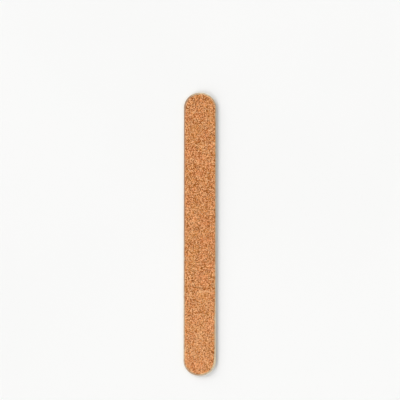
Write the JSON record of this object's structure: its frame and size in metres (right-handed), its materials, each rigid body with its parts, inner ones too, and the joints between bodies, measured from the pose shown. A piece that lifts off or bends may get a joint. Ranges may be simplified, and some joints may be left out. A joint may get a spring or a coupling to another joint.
{
  "type": "emery board",
  "caption": "Flat double-sided nail file: a round-ended cardboard strip with coarse abrasive paper on one face and fine on the other.",
  "frame": {"origin": "centre of the fine face, under the middle of the board, which rests on it", "axes": "+Y along the board's length, +X across its width, +Z out of the coarse face"},
  "size_m": [0.013, 0.1142, 0.0013],
  "materials": {
    "core_board": "matt layered fibres, sheared at the edge",
    "laminating_glue": "thin dried glue line",
    "backing_paper": "matt cream kraft paper",
    "make_coat": "satin brown resin",
    "coarse_grit": "sharp translucent tan and brown grains",
    "coarse_size_coat": "thin orange-tan resin glaze",
    "fine_grit": "fine pale tan grains",
    "fine_size_coat": "thin pale resin glaze"
  },
  "bodies": {
    "root": {"core_board": "core_board", "coarse_glue_film": "laminating_glue", "coarse_backing_paper": "backing_paper", "coarse_make_coat": "make_coat", "coarse_grit_layer": "coarse_grit", "coarse_size_coat": "coarse_size_coat", "fine_glue_film": "laminating_glue", "fine_backing_paper": "backing_paper", "fine_make_coat": "make_coat", "fine_grit_layer": "fine_grit", "fine_size_coat": "fine_size_coat"}
  },
  "joints": []
}
